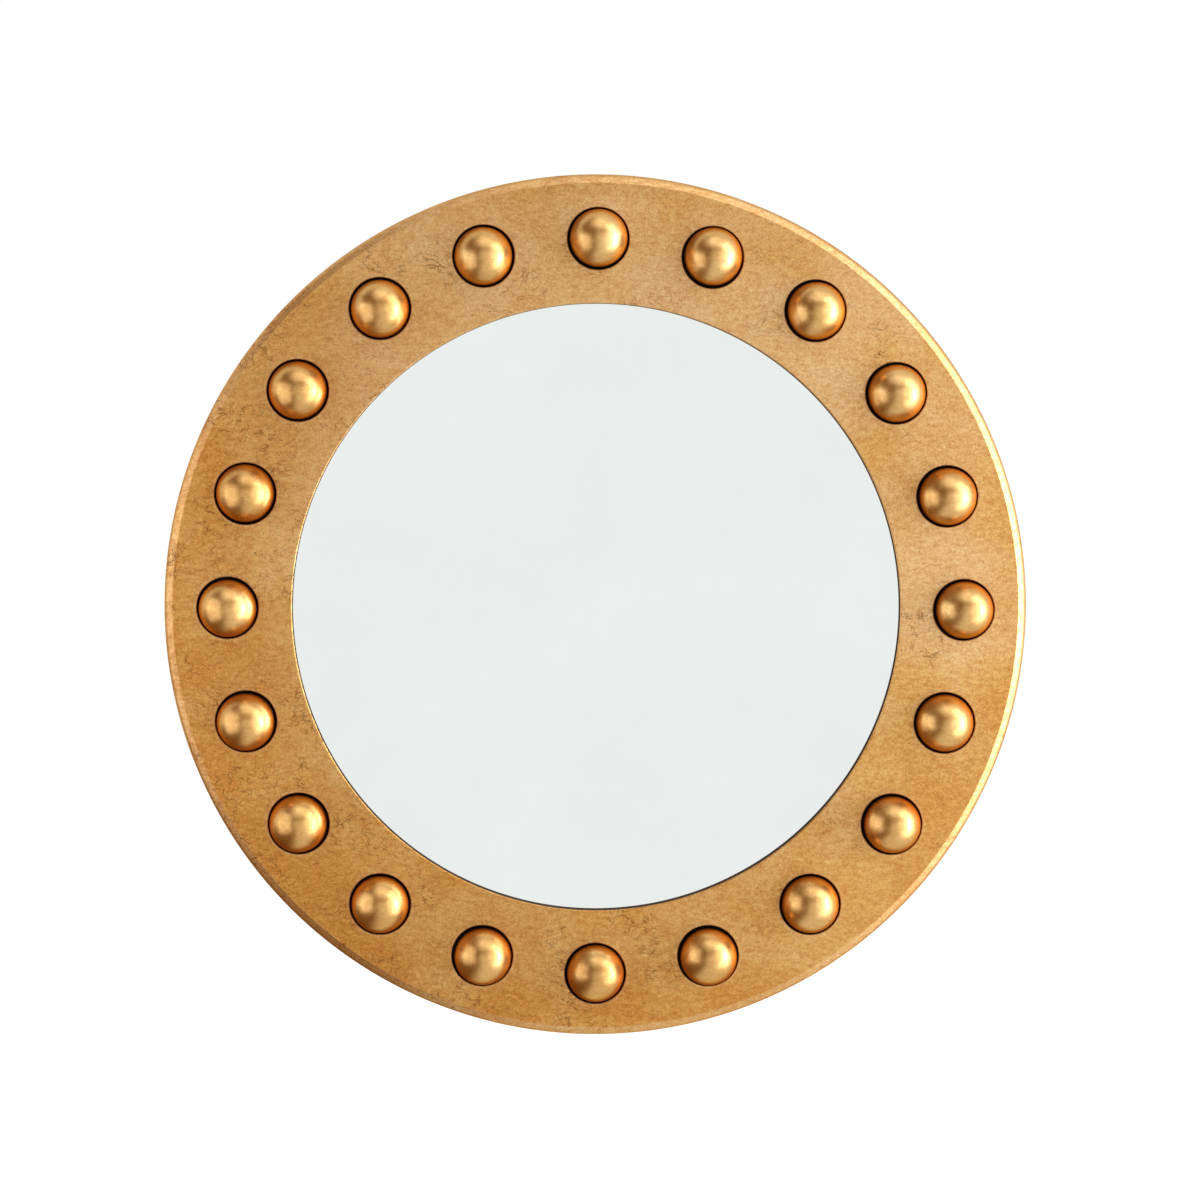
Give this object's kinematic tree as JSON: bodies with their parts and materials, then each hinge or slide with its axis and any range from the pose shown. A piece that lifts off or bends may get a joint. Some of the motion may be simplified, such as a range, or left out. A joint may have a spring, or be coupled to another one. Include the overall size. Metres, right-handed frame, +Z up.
{
  "type": "girandole mirror",
  "caption": "Round wall mirror: flat glass in a wide gilded ring set with gilded balls in bored holes, hung by wire rings on its back.",
  "frame": {"origin": "the mirror's centre, in the wall plane that the four bumpers' back faces touch", "axes": "+Z up, -Y out of the glass into the room, +X to the right seen from the room"},
  "size_m": [0.9143, 0.0759, 0.9144],
  "materials": {
    "gold_leaf": "board gilded with satin leaf, rubbed and lacquered",
    "gold_ball": "turned wood gilded with satin leaf",
    "black_board": "fibre board painted matt black",
    "silvered_glass": "silvered float glass",
    "felt": "felt tape",
    "fibre_board": "bare fibre board",
    "steel_screw": "black phosphate",
    "zinc_steel": "bright zinc plate",
    "zinc_wire": "bright zinc plated wire",
    "rubber": "matt rubber"
  },
  "bodies": {
    "mirror": {"backing_ring": "black_board", "ball_01": "gold_ball", "ball_02": "gold_ball", "ball_03": "gold_ball", "ball_04": "gold_ball", "ball_05": "gold_ball", "ball_06": "gold_ball", "ball_07": "gold_ball", "ball_08": "gold_ball", "ball_09": "gold_ball", "ball_10": "gold_ball", "ball_11": "gold_ball", "ball_12": "gold_ball", "ball_13": "gold_ball", "ball_14": "gold_ball", "ball_15": "gold_ball", "ball_16": "gold_ball", "ball_17": "gold_ball", "ball_18": "gold_ball", "ball_19": "gold_ball", "ball_20": "gold_ball", "ball_screws": "steel_screw", "bumper_lower_left": "rubber", "bumper_lower_right": "rubber", "bumper_upper_left": "rubber", "bumper_upper_right": "rubber", "felt_tape": "felt", "front_ring": "gold_leaf", "glass_board": "fibre_board", "hanger_screws": "zinc_steel", "hanger_strap_left": "zinc_steel", "hanger_strap_right": "zinc_steel", "mirror_glass": "silvered_glass", "ring_screws": "steel_screw"},
    "left_ring": {"hanger_ring_left": "zinc_wire"},
    "right_ring": {"hanger_ring_right": "zinc_wire"}
  },
  "joints": [
    {"name": "left_ring_swing", "type": "hinge", "parent": "mirror", "child": "left_ring", "pos_m": [-0.27549, -0.00492, 0.29749], "axis": [1, 0, 0], "range_deg": [0, 175]},
    {"name": "right_ring_swing", "type": "hinge", "parent": "mirror", "child": "right_ring", "pos_m": [0.27549, -0.00492, 0.29749], "axis": [1, 0, 0], "range_deg": [0, 175]}
  ]
}
